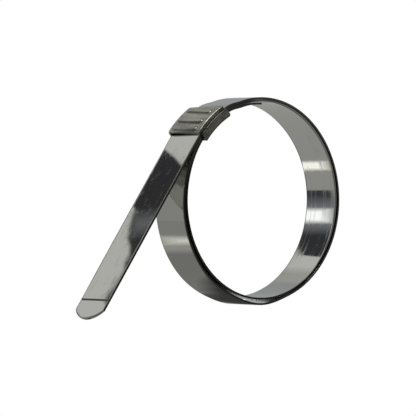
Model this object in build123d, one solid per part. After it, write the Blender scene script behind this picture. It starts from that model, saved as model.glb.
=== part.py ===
from build123d import *
import os
from math import cos, radians, sin

os.makedirs("parts", exist_ok=True)

# Preformed double-wrapped band clamp, 5/8 in band on a 2-3/4 in bore. Millimetres.
# The hose's axis is the Y axis through the origin, X points right and Z points up.
# One stainless strip starts inside the ring at 12 o'clock, passes the buckle three
# times and leaves it as a straight tail. The ring's bottom and the tail's tip are at
# one height, so the clamp stands on them.

# Strip
band_width = 15.875
band_thickness = 0.762
wrap_gap = 0.08
pitch = band_thickness + wrap_gap

# Bore. The ring is a little over the nominal size, and sits off the hose's axis towards
# the buckle, whose base stands proud of the band.
nominal_bore = 69.85
ring_radius = 35.25
ring_offset = 0.385
offset_angle = 36.0

# Winding. Angles run anticlockwise from 12 o'clock, seen from -Y, and count the turns.
free_end_start = -1.9
free_end_drop = 0.42
free_end_lift = 0.24
buckle_rise = 0.07
crescent_gap = 0.85
tail_leaves_at = 771.8

# Buckle, folded from sheet a little wider than the band
sheet = 0.762
sheet_clearance = 0.08
side_clearance = 0.35
buckle_start = 24.4
buckle_end = 48.0
buckle_lean = 18.0
bend_radius = 1.3
near_wall_height = 3.1
seam_gap = 0.34
plate_edge_round = 0.30
corner_round = 1.1

# Pressed beads across the buckle's top
bead_angles = (30.2, 37.6, 43.4)
bead_height = 0.38
bead_width = 2.6
bead_near_end = -5.0
bead_far_end = 6.0

# Tail
tip_round = 10.0
tip_corner = 1.2
mark_from_tip = 6.9
mark_depth = 0.12
mark_width = 0.45

half_width = band_width / 2
centre_x = -ring_offset * sin(radians(offset_angle))
centre_z = ring_offset * cos(radians(offset_angle))


def at(angle, radius):
    """The point of the XZ plane at a winding angle and a radius from the ring's centre."""
    turn = radians(angle)
    return Vector(centre_x - radius * sin(turn), 0, centre_z + radius * cos(turn))


def along(angle):
    """The winding direction at that angle."""
    turn = radians(angle)
    return Vector(-cos(turn), 0, -sin(turn))


def ease(share):
    return share * share * (3 - 2 * share)


def arc(radius, start, end):
    return ThreePointArc(at(start, radius), at((start + end) / 2, radius), at(end, radius))


def ramp(inner, outer, start, end):
    """A smooth step from one radius to another, tangent to both circles."""
    steps = 6
    spots = []
    for i in range(steps + 1):
        share = i / steps
        radius = inner + (outer - inner) * ease(share)
        spots.append(at(start + share * (end - start), radius))
    return Spline(*spots, tangents=(along(start), along(end)))


# The radius of the strip's inner face, stretch by stretch: winding angle, radius.
first_turn = ring_radius
second_turn = ring_radius + pitch
third_turn = ring_radius + 2 * pitch
stations = [
    (free_end_start, first_turn - free_end_drop - free_end_lift),
    (9.0, first_turn - free_end_drop),
    (13.0, first_turn - free_end_drop),
    (23.0, first_turn + buckle_rise),
    (50.0, first_turn + buckle_rise),
    (62.0, first_turn),
    (305.0, first_turn),
    (348.0, second_turn - free_end_drop),
    (373.0, second_turn - free_end_drop),
    (383.0, second_turn + buckle_rise),
    (410.0, second_turn + buckle_rise),
    (422.0, second_turn),
    (510.0, second_turn),
    (530.0, second_turn + crescent_gap),
    (549.0, second_turn),
    (665.0, second_turn),
    (708.0, third_turn - free_end_drop),
    (733.0, third_turn - free_end_drop),
    (743.0, third_turn + buckle_rise),
    (tail_leaves_at, third_turn + buckle_rise),
]


def winding(offset):
    """The edges of one face of the strip, at an offset outward from its inner face."""
    edges = []
    for (start, inner), (end, outer) in zip(stations, stations[1:]):
        if inner == outer:
            edges.append(arc(inner + offset, start, end))
        else:
            edges.append(ramp(inner + offset, outer + offset, start, end))
    return edges


# The tail is straight and long enough for its tip to be level with the ring's bottom.
tail_inner = stations[-1][1]
tail_outer = tail_inner + band_thickness
tail_way = along(tail_leaves_at)
ring_bottom = centre_z - (second_turn + crescent_gap + band_thickness)
tail_start = at(tail_leaves_at, tail_inner)
tail_length = (tail_start.Z - ring_bottom) / -tail_way.Z
inner_tip = tail_start + tail_way * tail_length
outer_tip = at(tail_leaves_at, tail_outer) + tail_way * tail_length

inner_edges = winding(0)
outer_edges = winding(band_thickness)
first_inner = stations[0][1]
first_outer = first_inner + band_thickness
free_end = Line(at(free_end_start, first_inner), at(free_end_start, first_outer))
inner_edges.append(Line(tail_start, inner_tip))
outer_edges.append(Line(at(tail_leaves_at, tail_outer), outer_tip))
tip_edge = Line(inner_tip, outer_tip)
profile = make_face(Wire([free_end, *inner_edges, tip_edge, *outer_edges]))
band = extrude(profile, amount=half_width, dir=(0, 1, 0), both=True)

# The tip is one shallow arc with its corners taken off. Here X is the width and Y runs
# from the tip into the tail, on the tail's outer face.
outward = at(tail_leaves_at, 1) - at(tail_leaves_at, 0)
tail_frame = Plane(origin=outer_tip, x_dir=(0, -1, 0), z_dir=outward)
sagitta = tip_round - (tip_round**2 - half_width**2) ** 0.5
tip_disc = Pos(0, tip_round) * Circle(tip_round)
tip_strip = Pos(0, sagitta + 20) * Rectangle(band_width, 40)
tip_reach = Pos(0, 25) * Rectangle(band_width, 50)
tip_outline = (tip_disc + tip_strip) & tip_reach
tip_corners = [v for v in tip_outline.vertices() if abs(v.Y - sagitta) < 0.01]
tip_outline = fillet(tip_corners, tip_corner)
tip_blank = Pos(0, 6) * Rectangle(band_width + 4, 24)
band -= tail_frame * extrude(tip_blank - tip_outline, amount=3, both=True)

# A light transverse mark near the tip shows how far the tail is pulled.
mark = Pos(0, mark_from_tip) * Rectangle(band_width + 2, mark_width)
band -= tail_frame * extrude(mark, amount=-mark_depth)

# Buckle: a strip of sheet bent to a C and curved round the ring's centre.
base_top = first_turn + buckle_rise - sheet_clearance
base_under = base_top - sheet
plate_under = third_turn + buckle_rise + band_thickness + sheet_clearance
plate_top = plate_under + sheet
wall_inner = half_width + side_clearance
wall_outer = wall_inner + sheet
inside_bend = bend_radius - sheet


def folded(half, low, high, radius):
    """A rectangle whose corners are round, except the one at the near wall's top."""
    shape = Pos(0, (low + high) / 2) * Rectangle(2 * half, high - low)
    round_ones = [v for v in shape.vertices() if v.X > 0 or v.Y < (low + high) / 2]
    return fillet(round_ones, radius)


# The section's X is the hose's axis, and its Y is the radius.
wall_top = base_under + near_wall_height
section = folded(wall_outer, base_under, plate_top, bend_radius)
section -= folded(wall_inner, base_top, plate_under, inside_bend)
# The near wall stops short of the top, and the top plate stops inside it.
section -= Pos(-wall_outer, wall_top + 5) * Rectangle(2 * sheet, 10)
section -= Pos(-wall_inner + seam_gap / 2, plate_top) * Rectangle(seam_gap, 4 * sheet)
plate_edge = [v for v in section.vertices() if v.X < 0 and v.Y > plate_top - 0.01]
section = fillet(plate_edge, plate_edge_round)
rim = [v for v in section.vertices() if v.X < -half_width and abs(v.Y - wall_top) < 0.01]
section = fillet(rim, 0.2)

section_frame = Plane(origin=(centre_x, 0, centre_z), x_dir=(0, 1, 0), z_dir=(1, 0, 0))
ring_axis = Axis((centre_x, 0, centre_z), (0, 1, 0))
swept = revolve(section_frame * section, ring_axis, 360)

# Seen from the side the buckle's ends are straight cuts with rounded inner corners. The
# lower one is square to the ring and the upper one leans towards the tail.
low_under = at(buckle_end, base_under)
low_top = at(buckle_end, plate_top + 1)
high_under = at(buckle_start, base_under)
lean = radians(buckle_start + buckle_lean)
rise = (plate_top + 1 - base_under) / cos(radians(buckle_lean))
high_top = high_under + Vector(-sin(lean), 0, cos(lean)) * rise
mid_under = at((buckle_start + buckle_end) / 2, base_under - 0.02)
mid_top = at((buckle_start + buckle_end) / 2, plate_top + 1.2)
outline = make_face(
    Wire(
        [
            Line(low_under, low_top),
            ThreePointArc(low_top, mid_top, high_top),
            Line(high_top, high_under),
            ThreePointArc(high_under, mid_under, low_under),
        ]
    )
)
ring_centre = Vector(centre_x, 0, centre_z)
from_centre = base_under + 0.1
inner_corners = [v for v in outline.vertices() if (Vector(v) - ring_centre).length < from_centre]
outline = fillet(inner_corners, corner_round)
envelope = extrude(outline, amount=wall_outer + 1, dir=(0, 1, 0), both=True)
buckle = swept & envelope

# The beads are pressed from inside, so each has the sheet's thickness all over.
bead_radius = (bead_width**2 / 4 + bead_height**2) / (2 * bead_height)
bead_depth = plate_top + bead_height - bead_radius
first_ball = bead_near_end + bead_width / 2
last_ball = bead_far_end - bead_width / 2
bore_of_plate = Plane(section_frame.origin, z_dir=(0, 1, 0)) * Cylinder(plate_under - 0.02, 30)


def capsule(angle, radius):
    spot = at(angle, bead_depth)
    middle = spot + Vector(0, (first_ball + last_ball) / 2, 0)
    rod = Plane(middle, z_dir=(0, 1, 0)) * Cylinder(radius, last_ball - first_ball)
    near_ball = Pos(spot.X, first_ball, spot.Z) * Sphere(radius)
    far_ball = Pos(spot.X, last_ball, spot.Z) * Sphere(radius)
    return rod + near_ball + far_ball - bore_of_plate


for bead_angle in bead_angles:
    hollow = capsule(bead_angle, bead_radius - sheet)
    buckle = buckle + capsule(bead_angle, bead_radius) - hollow

band.label = "band"
buckle.label = "buckle"
export_step(band, "parts/band.step")
export_step(buckle, "parts/buckle.step")
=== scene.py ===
import bmesh
import bpy
import math
from mathutils import Matrix, Vector


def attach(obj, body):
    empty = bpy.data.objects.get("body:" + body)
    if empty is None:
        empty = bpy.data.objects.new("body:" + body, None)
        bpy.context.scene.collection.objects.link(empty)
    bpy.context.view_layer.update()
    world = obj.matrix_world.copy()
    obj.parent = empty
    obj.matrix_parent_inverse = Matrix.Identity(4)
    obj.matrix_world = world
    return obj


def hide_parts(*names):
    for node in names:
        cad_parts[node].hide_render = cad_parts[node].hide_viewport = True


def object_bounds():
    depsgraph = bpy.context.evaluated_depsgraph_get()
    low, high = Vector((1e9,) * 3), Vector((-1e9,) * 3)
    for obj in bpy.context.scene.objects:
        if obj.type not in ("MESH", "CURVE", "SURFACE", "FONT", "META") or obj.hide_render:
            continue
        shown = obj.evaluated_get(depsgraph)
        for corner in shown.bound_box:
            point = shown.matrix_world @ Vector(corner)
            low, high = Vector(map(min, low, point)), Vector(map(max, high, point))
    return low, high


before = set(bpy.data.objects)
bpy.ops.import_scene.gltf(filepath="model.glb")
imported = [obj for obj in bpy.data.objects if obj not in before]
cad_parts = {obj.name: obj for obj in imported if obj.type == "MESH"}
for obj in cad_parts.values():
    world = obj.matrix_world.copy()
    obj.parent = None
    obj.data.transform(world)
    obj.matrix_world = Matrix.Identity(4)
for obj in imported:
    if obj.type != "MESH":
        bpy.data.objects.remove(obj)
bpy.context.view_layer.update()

# Preformed band clamp: one stainless strip wound twice into a ring, a folded buckle round
# the wraps, and a straight tail. Metres. The hose's axis is Y, and Z is up.

MM = 0.001
DEG = math.pi / 180

# Strip
STRIP_WIDTH = 15.875 * MM
STRIP_THICKNESS = 0.762 * MM
WRAP_PITCH = STRIP_THICKNESS + 0.08 * MM
EDGE_ROUND = 0.16 * MM
ROW_STEP = 1.25

# Ring. Its centre lies off the hose's axis, towards the buckle.
RING_RADIUS = 35.25 * MM
RING_OFFSET = 0.385 * MM
OFFSET_ANGLE = 36 * DEG
RING_CENTRE = RING_OFFSET * Vector((-math.sin(OFFSET_ANGLE), 0, math.cos(OFFSET_ANGLE)))

# Winding: how far the layers lie below or above their even spacing
END_DROP = 0.54 * MM
END_LIFT = 0.24 * MM
BUCKLE_RISE = 0.07 * MM
SQUEEZE = 0.22 * MM
SPRING_LEFT = 0.60 * MM
SPRING_DIP = 0.20 * MM
CRESCENT_GAP = 0.90 * MM
SPRING_RIGHT = 0.28 * MM
TAIL_LEAVES = 771.8

# Tail
TAIL_LENGTH = 77.10 * MM
TIP_ROUND = 10.0 * MM
TIP_CORNER = 1.2 * MM
TIP_ZONE = 6.2 * MM
MARK_FROM_TIP = 8.0 * MM
MARK_WIDTH = 0.75 * MM
MARK_DEPTH = 0.16 * MM

# Buckle: sheet, and the room round the strip
SHEET = 0.762 * MM
SHEET_CLEARANCE = 0.08 * MM
SIDE_CLEARANCE = 0.35 * MM
BEND_RADIUS = 1.3 * MM
NEAR_WALL_HEIGHT = 3.1 * MM
NEAR_DROP = 0.60 * MM
FAR_RISE = 0.60 * MM
PLATE_EXTRA = 0.28 * MM
SEAM_GAP = 0.34 * MM
PLATE_EDGE_ROUND = 0.62 * MM
RIM_ROUND = 0.25 * MM
RIM_BEVEL = 0.12 * MM
# Painted shade on the near wall's top, in the seam beside the plate
WALL_TOP_SHADE = 0.65

# Buckle: its ends, in degrees round the ring
BUCKLE_START = 24.4
BUCKLE_END = 48.3
BUCKLE_LEAN = 18.0
START_SKEW = 2.8
END_SLANT = 1.5
CORNER_ROUND = 1.5 * MM
BUCKLE_ROWS = 112

# Beads pressed across the buckle's plate
BEAD_ANGLES = (32.7, 40.6, 46.2)
# How much painted shade darkens each bead's lower foot
BEAD_SHADES = (0.20, 0.65, 0.40)
BEAD_HEIGHT = 0.40 * MM
BEAD_WIDTH = 2.6 * MM
BEAD_FLANK = 0.55
BEAD_NEAR_END = -5.9 * MM
BEAD_FAR_END = 6.9 * MM

# Rolled finish: the share of light sent back, and its blue against its red. The faces on
# both sides of the crescent, between these winding angles, are lightened with painted light.
OPEN_TONE = 0.60
CRESCENT_LIGHT_TONE = 0.94
OPEN_BLUE = 0.955
CRESCENT_LIGHT_BLUE = 0.995
CRESCENT_LIGHT_FACES = (165, 171, 196, 206)
# How far the mark and the painted shade on the rims darken the strip
MARK_AND_SHADE_DEPTH = 0.85

# The sheared rims are darkened with painted shade, and lightened with painted light on the
# first wrap from 4 o'clock up to 12 o'clock.
RIM_FROM = 7.78 * MM
RIM_TO = 7.86 * MM
RIM_PAINTED_SHADE = 0.72
RIM_PAINTED_LIGHT = (235, 255, 362, 368)
RIM_LIGHT_SHARE = 0.9

# Pressed finish
PRESSED_TONE = (0.52, 0.52, 0.47)
BRUSH_SCALE = (750, 45, 750)
PATCH_SCALE = 300
# How far the painted shade at the beads' feet and on the near wall's top darkens the sheet
PAINTED_SHADE_DEPTH = 0.8

# The radius of the strip's inner face: winding angle in degrees, radius. Angles run
# anticlockwise from 12 o'clock and count the turns.
FIRST, SECOND, THIRD = (RING_RADIUS + i * WRAP_PITCH for i in range(3))
WINDING = [
    # The free end lies low inside the ring and rises into the buckle.
    (-1.9, FIRST - END_DROP - END_LIFT),
    (9.0, FIRST - END_DROP),
    (13.0, FIRST - END_DROP),
    (23.0, FIRST + BUCKLE_RISE),
    (50.0, FIRST + BUCKLE_RISE),
    # The first wrap is squeezed in a little, most of all at the bottom.
    (75.0, FIRST - SQUEEZE / 2),
    (130.0, FIRST - SQUEEZE),
    (250.0, FIRST - SQUEEZE),
    (305.0, FIRST),
    # It climbs over the free end and passes the buckle again.
    (348.0, SECOND - END_DROP),
    (373.0, SECOND - END_DROP),
    (383.0, SECOND + BUCKLE_RISE),
    (410.0, SECOND + BUCKLE_RISE),
    (422.0, SECOND),
    # The second wrap springs off the first at lower left, at the bottom and on the right.
    (490.0, SECOND + SPRING_LEFT),
    (515.0, SECOND + SPRING_LEFT - SPRING_DIP),
    (535.5, SECOND + CRESCENT_GAP),
    (557.0, SECOND),
    (625.0, SECOND + SPRING_RIGHT),
    (660.0, SECOND + SPRING_RIGHT),
    # The third layer passes the buckle to where the tail leaves.
    (708.0, THIRD - END_DROP),
    (733.0, THIRD - END_DROP),
    (743.0, THIRD + BUCKLE_RISE),
    (TAIL_LEAVES, THIRD + BUCKLE_RISE),
]

# Past the ring, a degree of winding is this length of tail.
TAIL_PER_DEGREE = WINDING[-1][1] * DEG


def at(angle, radius, across=0.0):
    """The point at a winding angle, anticlockwise from 12 o'clock, and a radius."""
    turn = angle * DEG
    way = Vector((-math.sin(turn), 0, math.cos(turn)))
    return RING_CENTRE + way * radius + Vector((0, across, 0))


# ---------------------------------------------------------------- node wiring


class Wiring:
    """Adds nodes to a tree. A value given for a socket is either a number or an output."""

    def __init__(self, tree):
        self.tree = tree

    def node(self, kind, inputs=None, **settings):
        new = self.tree.nodes.new(kind)
        for name, value in settings.items():
            setattr(new, name, value)
        for key, value in (inputs or {}).items():
            self.feed(new.inputs[key], value)
        return new

    def feed(self, socket, value):
        if isinstance(value, bpy.types.NodeSocket):
            self.tree.links.new(value, socket)
        elif isinstance(value, bpy.types.Node):
            self.tree.links.new(value.outputs[0], socket)
        else:
            socket.default_value = value

    def math(self, operation, a, b=0.0):
        return self.node("ShaderNodeMath", {0: a, 1: b}, operation=operation).outputs[0]

    def total(self, *values):
        out = values[0]
        for value in values[1:]:
            out = self.math("ADD", out, value)
        return out

    def times(self, a, b):
        return self.math("MULTIPLY", a, b)

    def step(self, value, low, high, to_low, to_high, smooth=False):
        """Maps a range to another, clamped, with a smooth or a straight ramp."""
        ramp = "SMOOTHSTEP" if smooth else "LINEAR"
        inputs = {0: value, 1: low, 2: high, 3: to_low, 4: to_high}
        new = self.node("ShaderNodeMapRange", inputs, interpolation_type=ramp, clamp=True)
        return new.outputs[0]

    def between(self, value, rise, full, fade, end):
        """1 from full to fade, falling to 0 at rise and at end."""
        return self.times(self.step(value, rise, full, 0, 1), self.step(value, fade, end, 1, 0))

    def without(self, share):
        """What a share leaves of the whole."""
        return self.math("SUBTRACT", 1, share)

    def attribute(self, name, output="Fac"):
        return self.node("ShaderNodeAttribute", attribute_name=name).outputs[output]

    def choose(self, test, if_false, if_true):
        inputs = {0: test, 2: if_false, 3: if_true}
        new = self.node("ShaderNodeMix", inputs, data_type="FLOAT", clamp_factor=True)
        return new.outputs[0]


def geometry_tree(name, inputs):
    """A geometry tree with named sizes. Gives back the wiring and the size outputs."""
    tree = bpy.data.node_groups.new(name, "GeometryNodeTree")
    for label, (kind, value) in inputs.items():
        socket = tree.interface.new_socket(label, in_out="INPUT", socket_type=kind)
        socket.default_value = value
    tree.interface.new_socket("Geometry", in_out="OUTPUT", socket_type="NodeSocketGeometry")
    wiring = Wiring(tree)
    group_in = wiring.node("NodeGroupInput")
    sizes = {label: group_in.outputs[label] for label in inputs}
    return wiring, sizes


def finished_piece(maker, name):
    """What the maker's modifiers make, as a plain mesh on a new object."""
    bpy.context.view_layer.update()
    evaluated = maker.evaluated_get(bpy.context.evaluated_depsgraph_get())
    mesh = bpy.data.meshes.new_from_object(evaluated)
    raw_mesh = maker.data
    bpy.data.objects.remove(maker)
    bpy.data.meshes.remove(raw_mesh)
    mesh.name = name
    piece = bpy.data.objects.new(name, mesh)
    bpy.context.scene.collection.objects.link(piece)
    return piece


def made_by(name, tree):
    """Runs a geometry tree once and keeps its result."""
    maker = bpy.data.objects.new(name + "_maker", bpy.data.meshes.new(name + "_seed"))
    bpy.context.scene.collection.objects.link(maker)
    maker.modifiers.new("make", "NODES").node_group = tree
    return finished_piece(maker, name)


# ---------------------------------------------------------------- materials


def steel(name, tint, roughness):
    """A plain steel, with its wiring and its shader for a finish to add to."""
    material = bpy.data.materials.new(name)
    material.use_nodes = True
    material.node_tree.nodes.clear()
    wiring = Wiring(material.node_tree)
    shader = wiring.node("ShaderNodeBsdfPrincipled")
    shader.inputs["Base Color"].default_value = (*tint, 1)
    shader.inputs["Metallic"].default_value = 1.0
    shader.inputs["Roughness"].default_value = roughness
    wiring.node("ShaderNodeOutputMaterial", {"Surface": shader})
    return material, wiring, shader


def rolled_finish():
    """Bright rolled strip: a mirror with lines along its length on the inner face, a few
    faint smudges, sheared rims darkened with painted shade, painted light across the crescent
    and a stained mark."""
    material, w, shader = steel("rolled_strip_steel", (0.60, 0.60, 0.57), 0.05)
    lie = w.node("ShaderNodeSeparateXYZ", {0: w.attribute("lie", "Vector")})
    along, across = w.times(lie.outputs[0], 1 / MM), w.times(lie.outputs[1], 1 / MM)
    inside = w.math("LESS_THAN", lie.outputs[2], 0)

    def noise(along_scale, across_scale, detail, seed):
        """Noise with so many waves a millimetre along and across the strip."""
        spot = w.node(
            "ShaderNodeCombineXYZ",
            {0: w.times(along, along_scale), 1: w.times(across, across_scale), 2: seed},
        )
        made = w.node("ShaderNodeTexNoise", {"Vector": spot, "Scale": 1.0, "Detail": detail})
        return made.outputs["Fac"]

    lines = noise(0.012, 0.9, 4.0, 3.1)
    hair = noise(0.030, 6.0, 2.0, 8.4)
    blotch = noise(0.30, 0.50, 4.0, 1.7)
    rough_lines = w.times(w.step(lines, 0.50, 0.68, 0.0, 0.12, smooth=True), inside)
    rough_blotch = w.step(blotch, 0.50, 0.72, 0.0, 0.06, smooth=True)
    w.feed(shader.inputs["Roughness"], w.total(rough_lines, rough_blotch, 0.035))

    # The first wrap's outer face and the second wrap's inner face, across the crescent,
    # lightened with painted light
    turn = w.math("DIVIDE", along, TAIL_PER_DEGREE / MM)
    facing_turn = w.math("SUBTRACT", turn, w.times(inside, 360))
    crescent_light = w.between(facing_turn, *CRESCENT_LIGHT_FACES)
    bright = w.total(w.times(crescent_light, CRESCENT_LIGHT_TONE - OPEN_TONE), OPEN_TONE)
    blue = w.total(w.times(crescent_light, CRESCENT_LIGHT_BLUE - OPEN_BLUE), OPEN_BLUE)

    # Painted shade on the sheared rims, eased by painted light on the first wrap
    off_middle = w.math("ABSOLUTE", across)
    rim = w.step(off_middle, RIM_FROM / MM, RIM_TO / MM, 0, RIM_PAINTED_SHADE)
    rim_light = w.times(w.between(turn, *RIM_PAINTED_LIGHT), RIM_LIGHT_SHARE)
    rim = w.times(rim, w.without(rim_light))
    dark = w.times(w.math("MAXIMUM", w.attribute("mark_and_shade"), rim), MARK_AND_SHADE_DEPTH)
    tone = w.times(bright, w.without(dark))
    tint = w.node("ShaderNodeCombineColor", {0: tone, 1: tone, 2: w.times(tone, blue)})
    w.feed(shader.inputs["Base Color"], tint)

    line_depth = w.total(w.times(inside, 0.15), 0.08)
    surface = w.total(w.times(lines, line_depth), w.times(hair, 0.05))
    bump = w.node("ShaderNodeBump", {"Strength": 0.5, "Distance": 0.006 * MM, "Height": surface})
    w.feed(shader.inputs["Normal"], bump)
    return material


def pressed_finish():
    """Duller sheet with brush streaks across the clamp, and painted shade at the feet of the
    beads and on the near wall's top.
    """
    material, w, shader = steel("pressed_sheet_steel", PRESSED_TONE, 0.22)
    spot = w.node("ShaderNodeTexCoord").outputs["Object"]
    grain = w.node("ShaderNodeMapping", {"Vector": spot, "Scale": BRUSH_SCALE})
    brush = w.node("ShaderNodeTexNoise", {"Vector": grain, "Scale": 1.0, "Detail": 3.0})
    patch = w.node("ShaderNodeTexNoise", {"Vector": spot, "Scale": PATCH_SCALE, "Detail": 2.0})
    rough_brush = w.step(brush, 0.30, 0.70, 0.0, 0.08)
    rough_patch = w.step(patch, 0.35, 0.70, 0.0, 0.08)
    w.feed(shader.inputs["Roughness"], w.total(rough_brush, rough_patch, 0.15))
    streaks = w.step(brush, 0.32, 0.66, 0.70, 1.22, smooth=True)
    # Painted shade at the beads' feet and on the near wall's top darkens the streaked tone
    tone = w.times(streaks, w.without(w.times(w.attribute("mark_and_shade"), PAINTED_SHADE_DEPTH)))
    channels = {i: w.times(tone, share) for i, share in enumerate(PRESSED_TONE)}
    w.feed(shader.inputs["Base Color"], w.node("ShaderNodeCombineColor", channels))
    bump = w.node("ShaderNodeBump", {"Strength": 0.5, "Distance": 0.03 * MM, "Height": brush})
    w.feed(shader.inputs["Normal"], bump)
    return material


rolled_steel = rolled_finish()
pressed_steel = pressed_finish()


# ---------------------------------------------------------------- strip


def strip_rows(w, size, first_turn, last_turn):
    """A line along the winding angle, with a point for each row of the strip. Three rows
    more at each end close it, and the rows beside the mark stand closer."""
    spare = w.times(size["Row Step"], 3)
    start = w.node("ShaderNodeCombineXYZ", {0: w.math("SUBTRACT", first_turn, spare)})
    end = w.node("ShaderNodeCombineXYZ", {0: w.total(last_turn, spare)})
    line = w.node("GeometryNodeCurvePrimitiveLine", {"Start": start, "End": end})
    reach = w.math("SUBTRACT", w.total(last_turn, w.times(spare, 2)), first_turn)
    row_count = w.total(w.math("ROUND", w.math("DIVIDE", reach, size["Row Step"])), 1)
    rows = w.node("GeometryNodeResampleCurve", {"Curve": line, "Count": row_count})

    row_place = w.node("ShaderNodeSeparateXYZ", {0: w.node("GeometryNodeInputPosition")})
    tip_turn = w.total(last_turn, EDGE_ROUND / TAIL_PER_DEGREE)
    from_tip = w.times(size["Mark From Tip"], 1 / TAIL_PER_DEGREE)
    mark_turn = w.math("SUBTRACT", tip_turn, from_tip)
    off_mark = w.math("ABSOLUTE", w.math("SUBTRACT", row_place.outputs[0], mark_turn))
    near_mark = w.math("LESS_THAN", off_mark, w.times(size["Row Step"], 1.6))
    cuts = w.times(near_mark, 11)
    return w.node("GeometryNodeSubdivideCurve", {"Curve": rows, "Cuts": cuts})


def strip_section(w, size):
    """A flat rectangle with rounded edges, and more points along its wide faces."""
    blank = w.node(
        "GeometryNodeCurvePrimitiveQuadrilateral",
        {"Width": size["Width"], "Height": size["Thickness"]},
    )
    rounding = {"Curve": blank, "Radius": size["Edge Round"], "Count": 4}
    section = w.node("GeometryNodeFilletCurve", rounding, mode="POLY")
    here = w.node("GeometryNodeInputPosition")
    count = w.node("GeometryNodeAttributeDomainSize", {"Geometry": section}, component="CURVE")
    index = w.node("GeometryNodeInputIndex")
    following = w.math("MODULO", w.total(index, 1), count.outputs[0])
    there = w.node(
        "GeometryNodeFieldAtIndex",
        {"Index": following, "Value": here},
        data_type="FLOAT_VECTOR",
        domain="POINT",
    )
    gap = w.node("ShaderNodeVectorMath", {0: here, 1: there}, operation="DISTANCE")
    long_side = w.math("GREATER_THAN", gap.outputs["Value"], 2 * MM)
    cuts = w.times(long_side, 29)
    return w.node("GeometryNodeSubdivideCurve", {"Curve": section, "Cuts": cuts})


def tip_depth(w, size, half_width, across):
    """How far the tip's outline lies back there: a shallow arc, smaller at each corner."""

    def leg(hypotenuse, other):
        difference = w.math("SUBTRACT", w.times(hypotenuse, hypotenuse), w.times(other, other))
        return w.math("SQRT", w.math("MAXIMUM", difference, 0))

    off_centre = w.math("ABSOLUTE", across)
    tip, corner = size["Tip Round"], size["Tip Corner"]
    inner_round = w.math("SUBTRACT", tip, corner)
    corner_across = w.math("SUBTRACT", half_width, corner)
    corner_depth = w.math("SUBTRACT", tip, leg(inner_round, corner_across))
    join = w.math("DIVIDE", w.times(corner_across, tip), inner_round)
    arc_depth = w.math("SUBTRACT", tip, leg(tip, off_centre))
    from_corner = w.math("SUBTRACT", off_centre, corner_across)
    round_depth = w.math("SUBTRACT", corner_depth, leg(corner, from_corner))
    at_corner = w.math("GREATER_THAN", off_centre, join)
    return w.choose(at_corner, arc_depth, round_depth)


def wound_radius(w, turn):
    """The radius of the strip's inner face at a winding angle."""
    radius = WINDING[0][1]
    for (start, low), (end, high) in zip(WINDING, WINDING[1:]):
        if low != high:
            radius = w.total(radius, w.step(turn, start, end, 0, high - low, smooth=True))
    return radius


def store(w, geometry, name, value, kind):
    """Keeps a value with each point, for the finish to read."""
    inputs = {"Geometry": geometry, "Name": name, "Value": value}
    return w.node("GeometryNodeStoreNamedAttribute", inputs, data_type=kind, domain="POINT")


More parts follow.
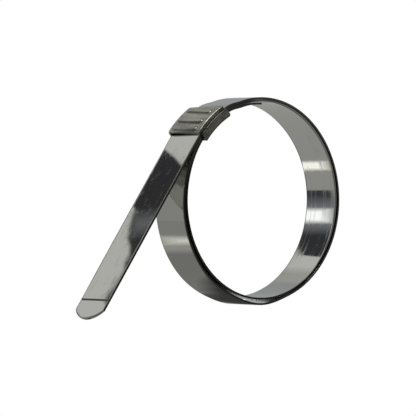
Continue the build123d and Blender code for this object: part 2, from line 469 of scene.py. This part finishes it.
def strip_tree():
    """The strip's section run along a spiral, then straight to a rounded tip."""
    w, size = geometry_tree(
        "wound_strip",
        {
            "Width": ("NodeSocketFloat", STRIP_WIDTH),
            "Thickness": ("NodeSocketFloat", STRIP_THICKNESS),
            "Edge Round": ("NodeSocketFloat", EDGE_ROUND),
            "Row Step": ("NodeSocketFloat", ROW_STEP),
            "Tail Length": ("NodeSocketFloat", TAIL_LENGTH),
            "Tip Round": ("NodeSocketFloat", TIP_ROUND),
            "Tip Corner": ("NodeSocketFloat", TIP_CORNER),
            "Mark From Tip": ("NodeSocketFloat", MARK_FROM_TIP),
            "Mark Depth": ("NodeSocketFloat", MARK_DEPTH),
            "Steel": ("NodeSocketMaterial", rolled_steel),
        },
    )
    half_thickness = w.times(size["Thickness"], 0.5)
    half_width = w.times(size["Width"], 0.5)
    edge = size["Edge Round"]
    first_turn = WINDING[0][0] + EDGE_ROUND / TAIL_PER_DEGREE
    tail_turn = w.times(w.math("SUBTRACT", size["Tail Length"], edge), 1 / TAIL_PER_DEGREE)
    last_turn = w.total(tail_turn, TAIL_LEAVES)
    rows = strip_rows(w, size, first_turn, last_turn)
    section = strip_section(w, size)
    swept = w.node("GeometryNodeCurveToMesh", {"Curve": rows, "Profile Curve": section})

    place = w.node("ShaderNodeSeparateXYZ", {0: w.node("GeometryNodeInputPosition")})
    row_turn, across, depth = place.outputs
    turn = w.math("MAXIMUM", w.math("MINIMUM", row_turn, last_turn), first_turn)

    # The spare rows at each end turn the edge's round inwards and meet in the middle.
    past_end = w.math("SUBTRACT", row_turn, turn)
    cap_row = w.math("DIVIDE", w.math("ABSOLUTE", past_end), size["Row Step"])
    rim_angle = w.times(w.math("MINIMUM", w.math("ROUND", cap_row), 2), 45 * DEG)
    rim_reach = w.times(w.times(edge, w.math("SINE", rim_angle)), w.math("SIGN", past_end))
    rim_drop = w.times(edge, w.without(w.math("COSINE", rim_angle)))
    open_row = w.math("LESS_THAN", cap_row, 2.5)
    limit = w.times(w.math("SUBTRACT", half_thickness, rim_drop), open_row)
    height = w.math("MAXIMUM", w.math("MINIMUM", depth, limit), w.times(limit, -1))

    # The scribed mark across the tail's outer face
    tail_left = w.times(w.math("SUBTRACT", last_turn, turn), TAIL_PER_DEGREE)
    mark_left = w.math("SUBTRACT", size["Mark From Tip"], edge)
    off_mark = w.times(w.math("SUBTRACT", tail_left, mark_left), 2 / MARK_WIDTH)
    groove = w.math("MAXIMUM", w.without(w.times(off_mark, off_mark)), 0)
    on_outer = w.math("GREATER_THAN", depth, w.times(half_thickness, 0.5))
    mark = w.times(groove, on_outer)
    height = w.math("SUBTRACT", height, w.times(mark, size["Mark Depth"]))

    # From the ring's centre out to the place, and past the ring straight down the tail
    radius = w.total(wound_radius(w, turn), half_thickness, height)
    angle = w.times(w.math("MINIMUM", turn, TAIL_LEAVES), DEG)
    sine, cosine = w.math("SINE", angle), w.math("COSINE", angle)
    past_ring = w.math("MAXIMUM", w.math("SUBTRACT", turn, TAIL_LEAVES), 0)
    straight = w.times(past_ring, TAIL_PER_DEGREE)
    tip_share = w.step(tail_left, 0, TIP_ZONE - EDGE_ROUND, 1, 0)
    tip_shift = w.times(tip_depth(w, size, half_width, across), tip_share)
    run = w.math("SUBTRACT", w.total(straight, rim_reach), tip_shift)
    leftward = w.total(w.times(radius, sine), w.times(run, cosine))
    downward = w.times(run, sine)
    x = w.math("SUBTRACT", RING_CENTRE.x, leftward)
    z = w.math("SUBTRACT", w.total(RING_CENTRE.z, w.times(radius, cosine)), downward)
    spot = w.node("ShaderNodeCombineXYZ", {0: x, 1: across, 2: z})

    # What a place on the strip is, for the finish: length along it, across, and depth
    along = w.times(turn, TAIL_PER_DEGREE)
    lie = w.node("ShaderNodeCombineXYZ", {0: along, 1: across, 2: depth})
    told = store(w, swept, "lie", lie, "FLOAT_VECTOR")
    told = store(w, told, "mark_and_shade", mark, "FLOAT")
    wound = w.node("GeometryNodeSetPosition", {"Geometry": told, "Position": spot})
    closed = w.node("GeometryNodeMergeByDistance", {"Geometry": wound, "Distance": 0.001 * MM})
    smooth = w.node("GeometryNodeSetShadeSmooth", {"Geometry": closed})
    real = w.node("GeometryNodeRealizeInstances", {"Geometry": smooth})
    dressed = w.node("GeometryNodeSetMaterial", {"Geometry": real, "Material": size["Steel"]})
    w.node("NodeGroupOutput", {"Geometry": dressed})
    return w.tree


def outward(mesh):
    """Turns every face of a closed mesh outwards."""
    work = bmesh.new()
    work.from_mesh(mesh)
    bmesh.ops.recalc_face_normals(work, faces=work.faces)
    work.to_mesh(mesh)
    work.free()


strip = made_by("wound_strip", strip_tree())
outward(strip.data)
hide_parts("band")
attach(strip, "root")


# ---------------------------------------------------------------- buckle

BASE_TOP = FIRST + BUCKLE_RISE - SHEET_CLEARANCE
BASE_UNDER = BASE_TOP - SHEET
PLATE_UNDER = THIRD + BUCKLE_RISE + STRIP_THICKNESS + SHEET_CLEARANCE
PLATE_TOP = PLATE_UNDER + SHEET + PLATE_EXTRA
WALL_INNER = STRIP_WIDTH / 2 + SIDE_CLEARANCE
WALL_OUTER = WALL_INNER + SHEET
WALL_TOP = BASE_UNDER + NEAR_WALL_HEIGHT
PLATE_EDGE = -WALL_INNER + SEAM_GAP
INSIDE_BEND = BEND_RADIUS - SHEET


def folded_section():
    """Pairs of outer and inner points (across, radius) along the folded sheet, from the
    near wall's top round to the plate's near edge."""
    pairs = []

    def straight(outer_a, inner_a, outer_b, inner_b, steps):
        for i in range(steps):
            share = i / steps
            pairs.append((outer_a.lerp(outer_b, share), inner_a.lerp(inner_b, share)))

    def bend(centre, start, steps=8):
        for i in range(steps):
            turn = (start + 90 * i / steps) * DEG
            way = Vector((math.cos(turn), math.sin(turn)))
            pairs.append((centre + way * BEND_RADIUS, centre + way * INSIDE_BEND))

    def point(across, radius):
        return Vector((across, radius))

    left, right = -WALL_OUTER + BEND_RADIUS, WALL_OUTER - BEND_RADIUS
    low, high = BASE_UNDER + BEND_RADIUS, PLATE_TOP + FAR_RISE - BEND_RADIUS
    near_low = low - NEAR_DROP
    rim_end = WALL_TOP - RIM_ROUND
    plate_end = PLATE_EDGE + PLATE_EDGE_ROUND

    # The near wall's rounded top
    for i in range(6):
        turn = (90 - 15 * i) * DEG
        across = -WALL_OUTER + RIM_ROUND * (1 - math.cos(turn))
        top = WALL_TOP - RIM_ROUND * (1 - math.sin(turn))
        pairs.append((point(across, top), point(-WALL_INNER, WALL_TOP - RIM_ROUND * i / 6)))
    # Down the near wall, along the base, up the far wall and back along the plate
    straight(
        point(-WALL_OUTER, rim_end), point(-WALL_INNER, rim_end),
        point(-WALL_OUTER, near_low), point(-WALL_INNER, near_low), 8,
    )
    bend(point(left, near_low), 180)
    straight(
        point(left, BASE_UNDER - NEAR_DROP), point(left, BASE_TOP - NEAR_DROP),
        point(right, BASE_UNDER), point(right, BASE_TOP), 24,
    )
    bend(point(right, low), 270)
    straight(
        point(WALL_OUTER, low), point(WALL_INNER, low),
        point(WALL_OUTER, high), point(WALL_INNER, high), 8,
    )
    bend(point(right, high), 0)
    straight(
        point(right, PLATE_TOP + FAR_RISE), point(right, PLATE_UNDER + FAR_RISE),
        point(plate_end, PLATE_TOP), point(plate_end, PLATE_UNDER), 84,
    )
    # The plate's rounded near edge
    for i in range(9):
        turn = math.pi / 2 * i / 8
        across = PLATE_EDGE + PLATE_EDGE_ROUND * (1 - math.sin(turn))
        top = PLATE_TOP - PLATE_EDGE_ROUND * (1 - math.cos(turn))
        pairs.append((point(across, top), point(across, PLATE_UNDER)))
    return pairs


def bead(angle, across):
    """How far the pressed beads lift the plate there, and how much painted shade darkens their
    feet.
    """
    first, last = BEAD_NEAR_END + BEAD_WIDTH / 2, BEAD_FAR_END - BEAD_WIDTH / 2
    past = max(0.0, first - across, across - last)
    lift = mark_and_shade = 0.0
    for bead_angle, depth in zip(BEAD_ANGLES, BEAD_SHADES):
        aside = (angle - bead_angle) * DEG * PLATE_TOP
        share = math.hypot(aside, past) / (BEAD_WIDTH / 2)
        if share < 1:
            side = min(1.0, (1 - share) / BEAD_FLANK)
            lift = max(lift, BEAD_HEIGHT * side * side * (3 - 2 * side))
        if aside > 0:
            # The foot gets painted shade on its lower side, and less past the bead's far end.
            reach = max(0.0, across - last - 2 * MM) / MM
            mark_and_shade = max(mark_and_shade, depth * math.exp(-(((share - 0.85) / 0.30) ** 2) - reach))
    return lift, mark_and_shade


def buckle_ends(across, radius):
    """The winding angles between which the buckle reaches at a place of its section."""
    far = min(1.0, max(0.0, 0.5 + across / (2 * WALL_INNER)))
    up = radius - BASE_UNDER + NEAR_DROP * (1 - far)
    lean = math.atan2(up * math.tan(BUCKLE_LEAN * DEG), radius) / DEG
    share = up / (PLATE_TOP - BASE_UNDER)
    start = BUCKLE_START + lean + START_SKEW * far
    end = BUCKLE_END + END_SLANT * (1 - share)
    if up < CORNER_ROUND:
        # The corners next to the bore are rounded in side view.
        bow = CORNER_ROUND - math.sqrt(max(0.0, CORNER_ROUND**2 - (CORNER_ROUND - up) ** 2))
        start += bow / radius / DEG
        end -= bow / radius / DEG
    return start, end


def buckle_point(work, shade_layer, share, across, radius):
    """A vertex of the buckle at a share of its length, with its painted shade."""
    start, end = buckle_ends(across, radius)
    angle = start + (end - start) * share
    lift = mark_and_shade = 0.0
    on_plate = radius > PLATE_UNDER - 0.01 * MM
    at_wall_top = across < -STRIP_WIDTH / 2 and radius > WALL_TOP - 2 * RIM_ROUND
    if on_plate:
        lift, mark_and_shade = bead(angle, across)
    elif at_wall_top:
        # Painted shade on the near wall's top, in the seam beside the plate
        mark_and_shade = WALL_TOP_SHADE
    vertex = work.verts.new(at(angle, radius + lift, across))
    vertex[shade_layer] = mark_and_shade
    return vertex


def folded_buckle():
    """The folded section run round the ring, closed at both ends, with eased rims."""
    pairs = folded_section()
    work = bmesh.new()
    shade_layer = work.verts.layers.float.new("mark_and_shade")
    grid = []
    for i in range(BUCKLE_ROWS + 1):
        share = i / BUCKLE_ROWS
        line = [
            [buckle_point(work, shade_layer, share, *spot) for spot in pair] for pair in pairs
        ]
        grid.append(line)
    last = len(pairs) - 1
    for a, b in zip(grid, grid[1:]):
        for j in range(last):
            work.faces.new((a[j][0], b[j][0], b[j + 1][0], a[j + 1][0]))
            work.faces.new((a[j][1], a[j + 1][1], b[j + 1][1], b[j][1]))
        work.faces.new((a[0][0], a[0][1], b[0][1], b[0][0]))
        work.faces.new((a[last][0], b[last][0], b[last][1], a[last][1]))
    for line in (grid[0], grid[-1]):
        for j in range(last):
            work.faces.new((line[j][0], line[j + 1][0], line[j + 1][1], line[j][1]))
    bmesh.ops.recalc_face_normals(work, faces=work.faces)
    mesh = bpy.data.meshes.new("buckle_blank")
    work.to_mesh(mesh)
    work.free()
    for face in mesh.polygons:
        face.use_smooth = True
    mesh.materials.append(pressed_steel)

    maker = bpy.data.objects.new("buckle_maker", mesh)
    bpy.context.scene.collection.objects.link(maker)
    rim = maker.modifiers.new("rim", "BEVEL")
    rim.width = RIM_BEVEL
    rim.segments = 3
    rim.limit_method = "ANGLE"
    rim.angle_limit = 50 * DEG
    even = maker.modifiers.new("even", "WEIGHTED_NORMAL")
    even.keep_sharp = True
    return finished_piece(maker, "folded_buckle")


buckle = folded_buckle()
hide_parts("buckle")
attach(buckle, "root")


# ---------------------------------------------------------------- studio

FLOOR_GAP = 0.02 * MM


def pale_floor():
    """White paper under the clamp, lit evenly from within, so that no shadow falls on it."""
    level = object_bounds()[0][2] - FLOOR_GAP
    corners = [(-4, -4, level), (4, -4, level), (4, 4, level), (-4, 4, level)]
    mesh = bpy.data.meshes.new("floor")
    mesh.from_pydata(corners, [], [(0, 1, 2, 3)])
    paper = bpy.data.materials.new("pale_paper")
    paper.use_nodes = True
    sockets = paper.node_tree.nodes["Principled BSDF"].inputs
    sockets["Base Color"].default_value = (0, 0, 0, 1)
    sockets["Specular IOR Level"].default_value = 0
    sockets["Roughness"].default_value = 0.9
    sockets["Emission Color"].default_value = (1, 1, 1, 1)
    sockets["Emission Strength"].default_value = 1.0
    mesh.materials.append(paper)
    floor = bpy.data.objects.new("floor", mesh)
    bpy.context.scene.collection.objects.link(floor)
    floor.visible_glossy = False


def white_surroundings():
    """Even white light from all round."""
    world = bpy.data.worlds.new("studio")
    world.use_nodes = True
    background = world.node_tree.nodes["Background"].inputs
    background["Color"].default_value = (1, 1, 1, 1)
    background["Strength"].default_value = 1.0
    bpy.context.scene.world = world


pale_floor()
white_surroundings()
bpy.context.scene.view_settings.view_transform = "Standard"
# Light reaches the crescent after many reflections between the wraps.
bpy.context.scene.cycles.max_bounces = 40
bpy.context.scene.cycles.glossy_bounces = 40


def only_reflected(piece):
    """A studio card that shows in the steel alone."""
    bpy.context.scene.collection.objects.link(piece)
    piece.visible_camera = False
    piece.visible_diffuse = False
    piece.visible_shadow = False
    piece.visible_transmission = False


def light_material(name):
    """A material that shines by itself and is met by reflection alone."""
    material = bpy.data.materials.new(name)
    material.use_nodes = True
    material.node_tree.nodes.clear()
    material.cycles.emission_sampling = "NONE"
    return material, Wiring(material.node_tree)


def room():
    """The room round the table: dark in front, grey behind, and paler high and low."""
    work = bmesh.new()
    bmesh.ops.create_uvsphere(work, u_segments=48, v_segments=24, radius=0.9)
    mesh = bpy.data.meshes.new("room")
    work.to_mesh(mesh)
    work.free()
    material, w = light_material("room_tone")
    spot = w.node("ShaderNodeSeparateXYZ", {0: w.node("ShaderNodeTexCoord").outputs["Object"]})
    behind = w.step(spot.outputs[1], -0.1, 0.35, 0.0, 0.12, smooth=True)
    height = w.math("ABSOLUTE", spot.outputs[2])
    tone = w.total(behind, w.step(height, 0.2, 0.7, 0.028, 0.20, smooth=True))
    glow = w.node("ShaderNodeEmission", {"Color": (1, 1, 0.97, 1), "Strength": tone})
    w.node("ShaderNodeOutputMaterial", {"Surface": glow})
    mesh.materials.append(material)
    only_reflected(bpy.data.objects.new("room", mesh))


def top_lamp():
    """A soft lamp above and a little in front, for the bright edges of the buckle."""
    mesh = bpy.data.meshes.new("top_lamp")
    corners = [(-0.16, -0.32, 0.5), (0.04, -0.32, 0.5), (0.04, 0.0, 0.5), (-0.16, 0.0, 0.5)]
    mesh.from_pydata(corners, [], [(0, 1, 2, 3)])
    material, w = light_material("top_lamp")
    glow = w.node("ShaderNodeEmission", {"Color": (1, 0.98, 0.86, 1), "Strength": 2.2})
    w.node("ShaderNodeOutputMaterial", {"Surface": glow})
    mesh.materials.append(material)
    only_reflected(bpy.data.objects.new("top_lamp", mesh))


def card_material():
    """Each card's own tone, fading out to its rim."""
    material, w = light_material("card")
    glow = w.node("ShaderNodeEmission", {"Color": w.attribute("tone", "Color")})
    clear = w.node("ShaderNodeBsdfTransparent")
    mixed = w.node("ShaderNodeMixShader", {0: w.attribute("cover"), 1: clear, 2: glow})
    w.node("ShaderNodeOutputMaterial", {"Surface": mixed})
    return material


CARD = card_material()
CARD_AWAY = 150 * MM
FRONT_CARD_AWAY = -140 * MM
CARD_STEP = 0.1 * MM
WARM = (1, 1, 0.97)
cards = []


def card(name, outline, tone, feather, tint=WARM, away=CARD_AWAY):
    """A lit or dark card behind the clamp, each a little nearer than the one before. The
    outline is (x, z) in millimetres, and feather is the width over which it fades."""
    count = len(outline)
    points = [Vector(p) for p in outline]
    area = sum(points[i].cross(points[(i + 1) % count]) for i in range(count))
    if area < 0:
        points.reverse()
    rim = []
    for i in range(count):
        before, here, after = points[i - 1], points[i], points[(i + 1) % count]
        first, second = (here - before).normalized(), (after - here).normalized()
        normal = Vector((first.y + second.y, -first.x - second.x))
        # A sharp corner's point is kept from reaching far out.
        normal = normal.normalized() / max(0.35, normal.length / 2)
        rim.append((here - normal * feather / 2, here + normal * feather / 2))
    away -= len(cards) * CARD_STEP
    spots = [p for pair in rim for p in pair]
    verts = [(p.x * MM, away, p.y * MM) for p in spots]
    faces = [tuple(2 * i for i in range(count))]
    for i in range(count):
        j = (i + 1) % count
        faces.append((2 * i, 2 * i + 1, 2 * j + 1, 2 * j))
    mesh = bpy.data.meshes.new(name)
    mesh.from_pydata(verts, [], faces)
    mesh.attributes.new("tone", "FLOAT_COLOR", "POINT")
    mesh.attributes.new("cover", "FLOAT", "POINT")
    for i in range(2 * count):
        mesh.attributes["tone"].data[i].color = (*(tone * share for share in tint), 1)
        mesh.attributes["cover"].data[i].value = 1 - i % 2
    mesh.materials.append(CARD)
    cards.append(name)
    only_reflected(bpy.data.objects.new(name, mesh))


def sector(start, end, near, far, centre=(12, 5)):
    """The outline of a piece of a flat ring round the clamp's middle."""
    steps = max(2, int(abs(end - start) / 4))
    turns = [(start + (end - start) * i / steps) * DEG for i in range(steps + 1)]
    spots = [(centre[0] + far * math.cos(t), centre[1] + far * math.sin(t)) for t in turns]
    spots += [
        (centre[0] + near * math.cos(t), centre[1] + near * math.sin(t)) for t in turns[::-1]
    ]
    return spots


room()
top_lamp()
card("backdrop", [(-330, -330), (330, -330), (330, 330), (-330, 330)], 0.11, 60)
# Seen in the buckle's top and the ring's top
card("overhead_grey", [(-52, 139), (95, 120), (105, 175), (-50, 200)], 0.44, 14)
card("pale_side", sector(-25, 66, 84, 170), 0.38, 14, (0.95, 1, 1.02))
card("bright_side", sector(-12, 16, 128, 175), 1.0, 16, (0.94, 1, 1.02))
# Seen in the buckle's side
card("front_board", [(74, 2), (112, 2), (112, 40), (74, 40)], 0.15, 10, away=FRONT_CARD_AWAY)
# Seen in the ring's near rim, top right
card("front_glow", [(115, -24), (165, -24), (165, 42), (115, 42)], 0.24, 12,
     away=FRONT_CARD_AWAY)
# Seen in the ring's outside
card("ground", sector(196, 290, 134, 190), 0.235, 10)
card("table_edge", sector(158, 197, 134, 190), 0.335, 3)
card("table_front", sector(197, 216, 134, 190), 0.30, 3)
card("lamp_far", sector(211, 227, 145, 200), 0.40, 16)
card("lamp_far_glow", sector(213, 218, 168, 205), 0.95, 18, (1, 1, 0.9))
card("under_table", [
    (-110, -174), (-60, -168), (-11, -157), (26, -147), (66, -126), (81, -106),
    (109, -86), (135, -72), (170, -66), (260, -66), (260, -300), (-110, -300),
], 0.050, 12)
card("deep_under_table", [
    (20, -185), (75, -145), (100, -118), (125, -92), (150, -80),
    (260, -80), (260, -300), (-60, -300),
], 0.015, 18)
card("tail_shadow", sector(278, 325, 50, 88), 0.05, 6)
# Seen in the ring's inside
card("pale_below", sector(50, 100, 90, 130), 0.46, 14)
card("inside_grey", sector(92, 345, 94, 128), 0.40, 5)
card("pale_overhead", sector(78, 108, 84, 138), 0.68, 28)
card("dark_doorway", [
    (-76, 46), (-56, 66), (-49, 74), (-40, 84.5), (-21, 97), (-13, 101),
    (-12, 113), (-30, 112), (-60, 100), (-85, 78), (-92, 66),
], 0.045, 2, (0.93, 0.97, 1.1))
card("dark_shelf", sector(172, 191, 85, 117.2), 0.062, 2, (0.93, 0.97, 1.1))
card("window_glow", sector(142, 178, 70, 140), 0.24, 26, (0.93, 0.98, 1.08))
card("window", sector(152.5, 167.5, 80, 113), 1.6, 11, (0.98, 1, 1.01))
card("lamp_low", sector(217, 227, 80, 117), 1.5, 8, (1, 1, 0.93))
# Seen in the tail
card("pale_screen", [(-128, 52), (-52, 118), (-46, 165), (-72, 168), (-136, 92)], 0.66, 4)
card("dark_figure", [
    (-61.4, 129), (-65.7, 132.7), (-68.7, 135.5), (-72.5, 137.7), (-71.8, 140.2),
    (-70.5, 143), (-68, 147.2), (-72, 156), (-96, 127), (-90, 104),
    (-84.2, 108.2), (-82.4, 109.3), (-79.5, 107),
], 0.04, 1.2, (0.96, 0.96, 1.06))
card("figure_foot", [
    (-84, 130), (-122, 86), (-113.5, 83.6), (-111.6, 86.2), (-109.6, 90.2),
    (-107.4, 93.8), (-104.9, 96.7), (-101.9, 98.2), (-99.6, 101.2), (-96.4, 102.4),
    (-92.8, 102.2), (-89.9, 104), (-87.2, 106.4), (-84, 109),
], 0.04, 1.8, (0.96, 0.96, 1.06))
card("figure_haze", [(-85.5, 108), (-88, 121), (-94, 119), (-92, 105)], 0.17, 6,
     (0.96, 0.98, 1.04))


# ---------------------------------------------------------------- camera

CAMERA_AZIMUTH = -40.002
CAMERA_ELEVATION = 2.298
CAMERA_ROLL = -2.145
CAMERA_DISTANCE = 1300 * MM
CAMERA_ASIDE = 14.884 * MM
CAMERA_UP = 2.511 * MM
# The lens's focal length over the film's width
CAMERA_FOCUS = 3592.66 / 416

a, e = CAMERA_AZIMUTH * DEG, CAMERA_ELEVATION * DEG
back = Vector((math.sin(a) * math.cos(e), -math.cos(a) * math.cos(e), math.sin(e)))
level = Vector((math.cos(a), math.sin(a), 0))
upright = back.cross(level)
roll = CAMERA_ROLL * DEG
right = level * math.cos(roll) + upright * math.sin(roll)
up = upright * math.cos(roll) - level * math.sin(roll)
lens = bpy.data.cameras.new("camera")
lens.sensor_width = 36
lens.lens = CAMERA_FOCUS * lens.sensor_width
camera = bpy.data.objects.new("camera", lens)
bpy.context.scene.collection.objects.link(camera)
axes = Matrix((right, up, back)).transposed().to_4x4()
camera.matrix_world = Matrix.Translation(
    back * CAMERA_DISTANCE - right * CAMERA_ASIDE - up * CAMERA_UP
) @ axes
bpy.context.scene.camera = camera
